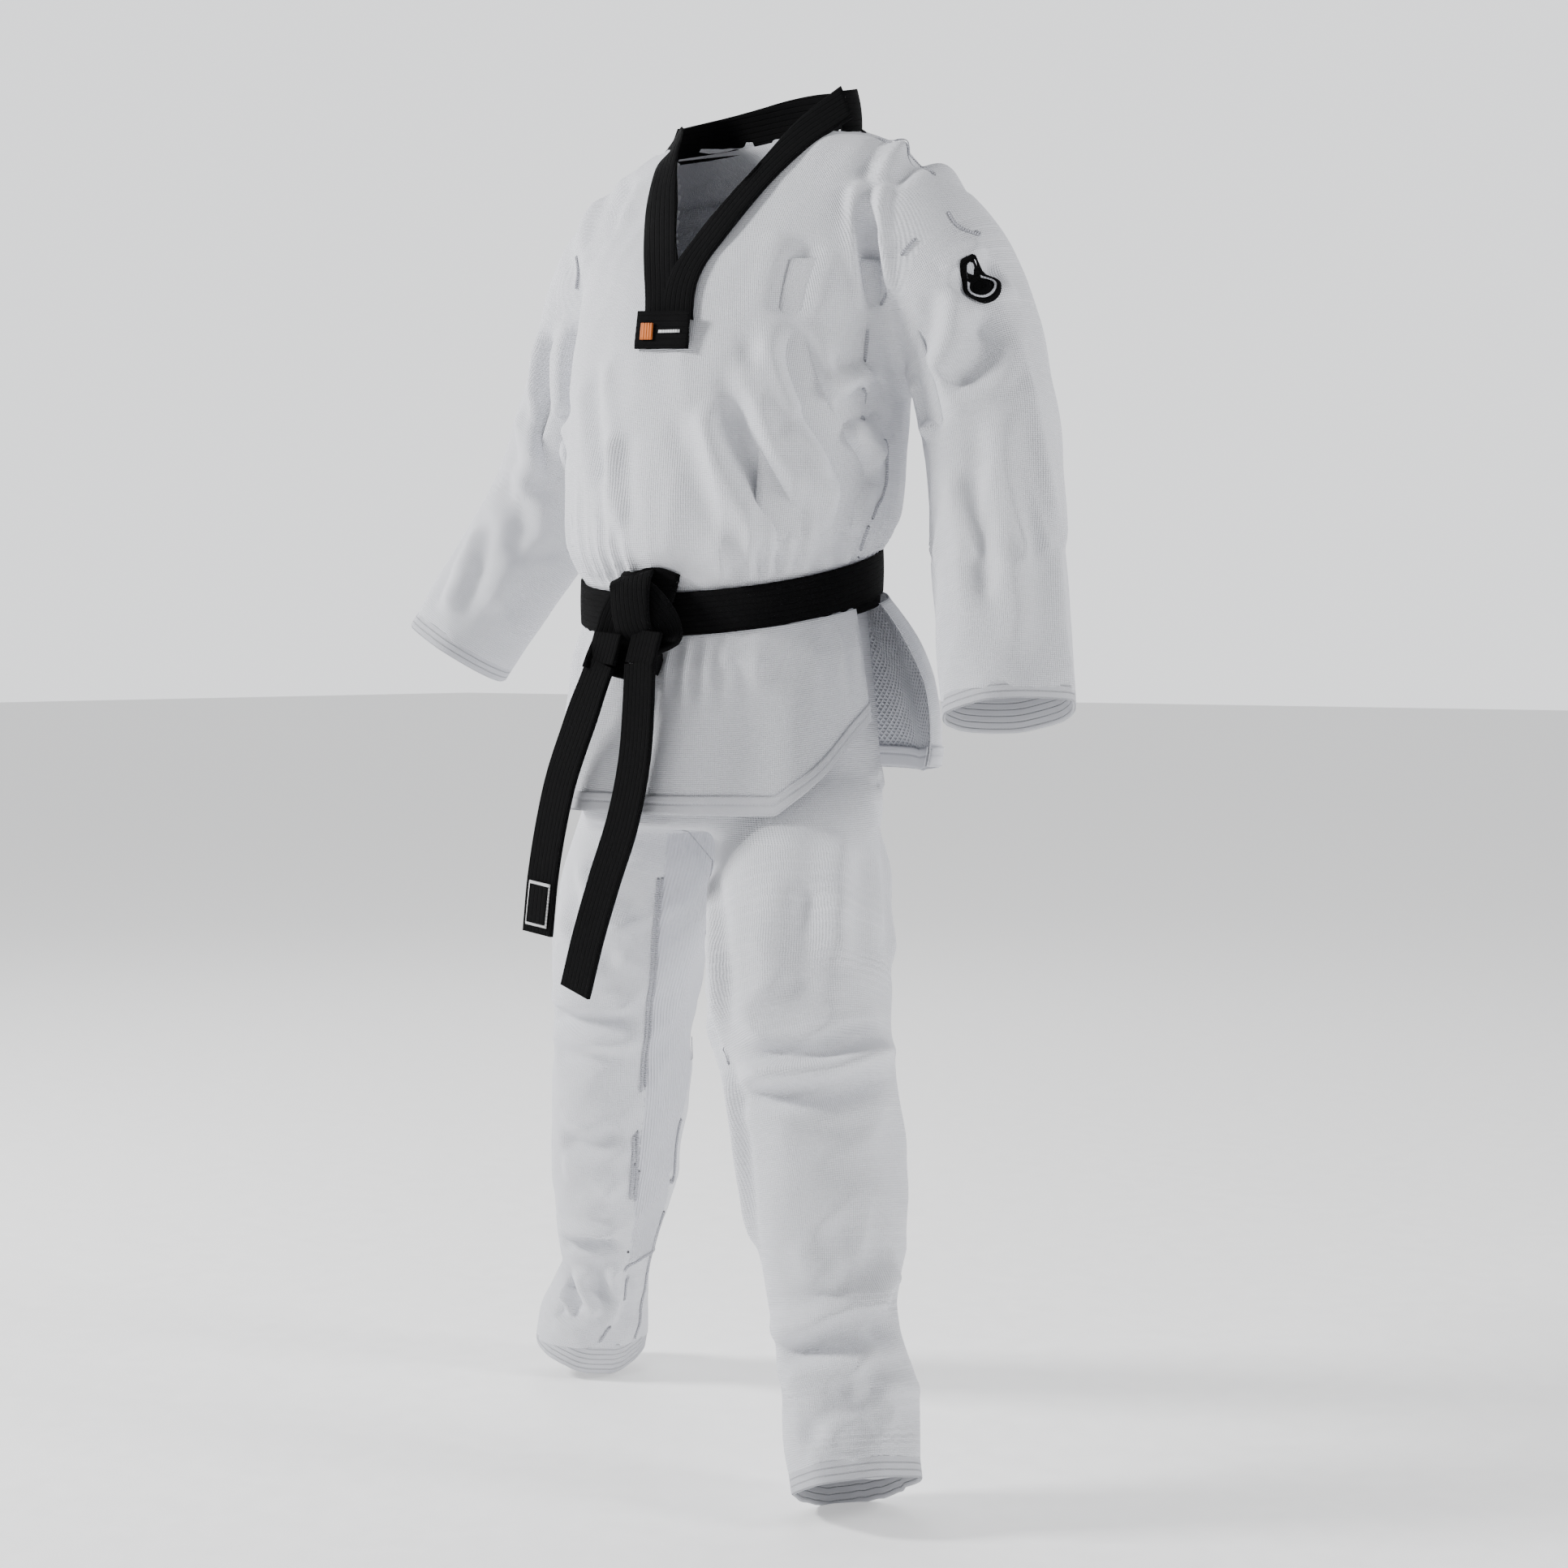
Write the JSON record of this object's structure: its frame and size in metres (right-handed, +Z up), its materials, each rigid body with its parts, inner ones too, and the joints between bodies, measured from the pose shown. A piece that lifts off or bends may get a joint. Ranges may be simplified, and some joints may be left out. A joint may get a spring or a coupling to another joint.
{
  "type": "martial arts uniform",
  "caption": "White V-neck pullover martial arts uniform with black collar band, tied black belt and loose trousers, shaped as worn, with bending sleeves and legs, skirt flaps and belt tails",
  "frame": {"origin": "centre of the waist at the middle of the belt's width, where the wearer's waist is", "axes": "Z up along the wearer's height, the front faces -Y, +X is the wearer's left"},
  "size_m": [0.9061, 0.4373, 1.4053],
  "materials": {
    "white_cotton": "dobby weave, matt",
    "ribbed_cotton": "ribbed knit, matt",
    "black_cotton": "close stitched rows, slight sheen",
    "tail_patch": "embroidered outline",
    "badge_thread": "embroidered",
    "elastic": "woven elastic",
    "eyelet": "satin"
  },
  "bodies": {
    "jacket": {"jacket_front_panel": "white_cotton", "jacket_back_panel": "white_cotton", "left_side_panel": "white_cotton", "right_side_panel": "white_cotton", "left_shoulder_cap": "white_cotton", "right_shoulder_cap": "white_cotton", "left_underarm_gusset": "white_cotton", "right_underarm_gusset": "white_cotton", "shoulder_badge": "badge_thread", "collar_back_band": "black_cotton", "collar_left_band": "black_cotton", "collar_right_band": "black_cotton", "collar_patch": "black_cotton", "belt_inner_wrap": "black_cotton", "belt_outer_wrap": "black_cotton", "belt_knot": "black_cotton", "waistband": "white_cotton", "waist_elastic": "elastic", "waistband_eyelets": "eyelet", "seat_front": "white_cotton", "seat_back": "white_cotton", "left_leg_root": "white_cotton", "right_leg_root": "white_cotton"},
    "left_sleeve": {"left_upper_sleeve": "white_cotton"},
    "left_forearm": {"left_lower_sleeve": "white_cotton", "left_cuff": "white_cotton"},
    "right_sleeve": {"right_upper_sleeve": "white_cotton"},
    "right_forearm": {"right_lower_sleeve": "white_cotton", "right_cuff": "white_cotton"},
    "front_skirt": {"front_skirt_panel": "white_cotton", "front_hem_facing": "white_cotton"},
    "back_skirt": {"back_skirt_panel": "white_cotton", "back_hem_facing": "white_cotton"},
    "left_tail": {"belt_left_tail": "black_cotton"},
    "right_tail": {"belt_right_tail": "black_cotton", "belt_tail_patch": "tail_patch"},
    "left_thigh": {"left_thigh_panel": "white_cotton", "left_thigh_gusset": "ribbed_cotton"},
    "left_shin": {"left_shin_panel": "white_cotton", "left_shin_gusset": "ribbed_cotton", "left_hem_band": "white_cotton"},
    "right_thigh": {"right_thigh_panel": "white_cotton", "right_thigh_gusset": "ribbed_cotton"},
    "right_shin": {"right_shin_panel": "white_cotton", "right_shin_gusset": "ribbed_cotton", "right_hem_band": "white_cotton"}
  },
  "joints": [
    {"name": "left_sleeve_raise", "type": "hinge", "parent": "jacket", "child": "left_sleeve", "pos_m": [0.27, 0.07, 0.225], "axis": [0, -0.9868, 0.1621], "range_deg": [-4, 40]},
    {"name": "left_elbow_bend", "type": "hinge", "parent": "left_sleeve", "child": "left_forearm", "pos_m": [0.308, 0.047, 0.085], "axis": [-0.9769, 0, -0.2136], "range_deg": [0, 65]},
    {"name": "right_sleeve_raise", "type": "hinge", "parent": "jacket", "child": "right_sleeve", "pos_m": [-0.268, 0.075, 0.225], "axis": [0, 1, 0], "range_deg": [-4, 40]},
    {"name": "right_elbow_bend", "type": "hinge", "parent": "right_sleeve", "child": "right_forearm", "pos_m": [-0.34, 0.075, 0.095], "axis": [-0.8808, 0, 0.4734], "range_deg": [0, 65]},
    {"name": "front_skirt_lift", "type": "hinge", "parent": "jacket", "child": "front_skirt", "pos_m": [0, -0.137, -0.06], "axis": [-1, 0, 0], "range_deg": [0, 25], "stiffness_Nm_per_rad": 0.8},
    {"name": "back_skirt_lift", "type": "hinge", "parent": "jacket", "child": "back_skirt", "pos_m": [0, 0.135, -0.012], "axis": [1, 0, 0], "range_deg": [0, 25], "stiffness_Nm_per_rad": 0.8},
    {"name": "left_tail_swing", "type": "hinge", "parent": "front_skirt", "child": "left_tail", "pos_m": [0, -0.172, -0.078], "axis": [-1, 0, 0], "range_deg": [0, 60]},
    {"name": "right_tail_swing", "type": "hinge", "parent": "front_skirt", "child": "right_tail", "pos_m": [0, -0.172, -0.078], "axis": [-1, 0, 0], "range_deg": [0, 60]},
    {"name": "left_leg_swing", "type": "hinge", "parent": "jacket", "child": "left_thigh", "pos_m": [0.153, -0.07, -0.35], "axis": [-0.9472, 0, -0.3206], "range_deg": [-10, 28]},
    {"name": "left_knee_bend", "type": "hinge", "parent": "left_thigh", "child": "left_shin", "pos_m": [0.197, -0.112, -0.48], "axis": [0.9715, 0, 0.2372], "range_deg": [0, 55]},
    {"name": "right_leg_swing", "type": "hinge", "parent": "jacket", "child": "right_thigh", "pos_m": [-0.151, 0.022, -0.35], "axis": [-0.9668, 0, 0.2555], "range_deg": [-10, 28]},
    {"name": "right_knee_bend", "type": "hinge", "parent": "right_thigh", "child": "right_shin", "pos_m": [-0.188, 0.04, -0.49], "axis": [0.97, 0, -0.2431], "range_deg": [0, 55]}
  ]
}
